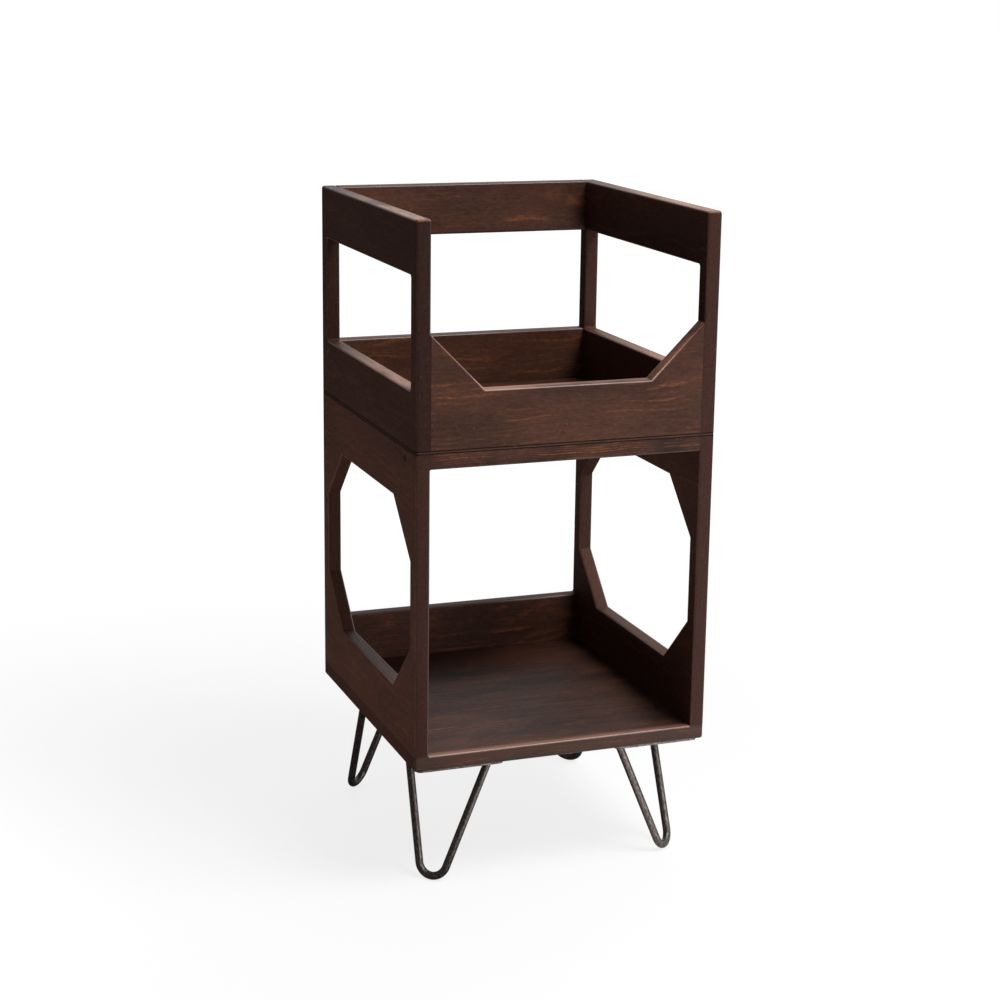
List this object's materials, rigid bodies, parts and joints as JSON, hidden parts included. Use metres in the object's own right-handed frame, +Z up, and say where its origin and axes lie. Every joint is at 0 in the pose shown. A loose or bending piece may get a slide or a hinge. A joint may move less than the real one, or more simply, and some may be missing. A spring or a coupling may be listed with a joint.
{
  "type": "record storage stand",
  "caption": "Walnut-stained wooden record stand: lift-off open-top browsing crate with hand windows over an open-front cabinet with octagonal side openings, on steel hairpin legs.",
  "frame": {"origin": "centre of the footprint, on the floor under the legs", "axes": "+Z up, +X to the right as seen from the open front, -Y towards the front, metres"},
  "size_m": [0.368, 0.38, 0.7879],
  "materials": {
    "stained_wood": "walnut-stained softwood, satin oil",
    "stained_ply": "dark-stained thin plywood, satin",
    "beech_dowel": "bare beech",
    "dark_steel": "dark oiled mild steel, mottled",
    "black_screw": "black-oxide steel"
  },
  "bodies": {
    "cabinet": {"cabinet_bottom_board": "stained_wood", "cabinet_side_left": "stained_wood", "cabinet_side_right": "stained_wood", "cabinet_top_board": "stained_wood", "cabinet_back_rail": "stained_wood", "locating_dowel_front_left": "beech_dowel", "locating_dowel_front_right": "beech_dowel", "locating_dowel_back_left": "beech_dowel", "locating_dowel_back_right": "beech_dowel", "base_screw_left_1": "black_screw", "base_screw_left_2": "black_screw", "base_screw_left_3": "black_screw", "base_screw_right_1": "black_screw", "base_screw_right_2": "black_screw", "base_screw_right_3": "black_screw", "leg_rod_front_left": "dark_steel", "leg_rod_front_right": "dark_steel", "leg_rod_back_right": "dark_steel", "leg_rod_back_left": "dark_steel", "leg_plate_front_left": "dark_steel", "leg_plate_front_right": "dark_steel", "leg_plate_back_right": "dark_steel", "leg_plate_back_left": "dark_steel", "leg_screw_front_left_1": "black_screw", "leg_screw_front_left_2": "black_screw", "leg_screw_front_left_3": "black_screw", "leg_screw_front_left_4": "black_screw", "leg_screw_front_right_1": "black_screw", "leg_screw_front_right_2": "black_screw", "leg_screw_front_right_3": "black_screw", "leg_screw_front_right_4": "black_screw", "leg_screw_back_right_1": "black_screw", "leg_screw_back_right_2": "black_screw", "leg_screw_back_right_3": "black_screw", "leg_screw_back_right_4": "black_screw", "leg_screw_back_left_1": "black_screw", "leg_screw_back_left_2": "black_screw", "leg_screw_back_left_3": "black_screw", "leg_screw_back_left_4": "black_screw"},
    "crate": {"crate_bottom_panel": "stained_ply", "crate_side_left": "stained_wood", "crate_side_right": "stained_wood", "crate_front_board": "stained_wood", "crate_back_lower_rail": "stained_wood", "crate_back_top_rail": "stained_wood"}
  },
  "joints": [
    {"name": "crate_lift", "type": "slide", "parent": "cabinet", "child": "crate", "axis": [0, 0, 1], "range_m": [0, 0.15]}
  ]
}
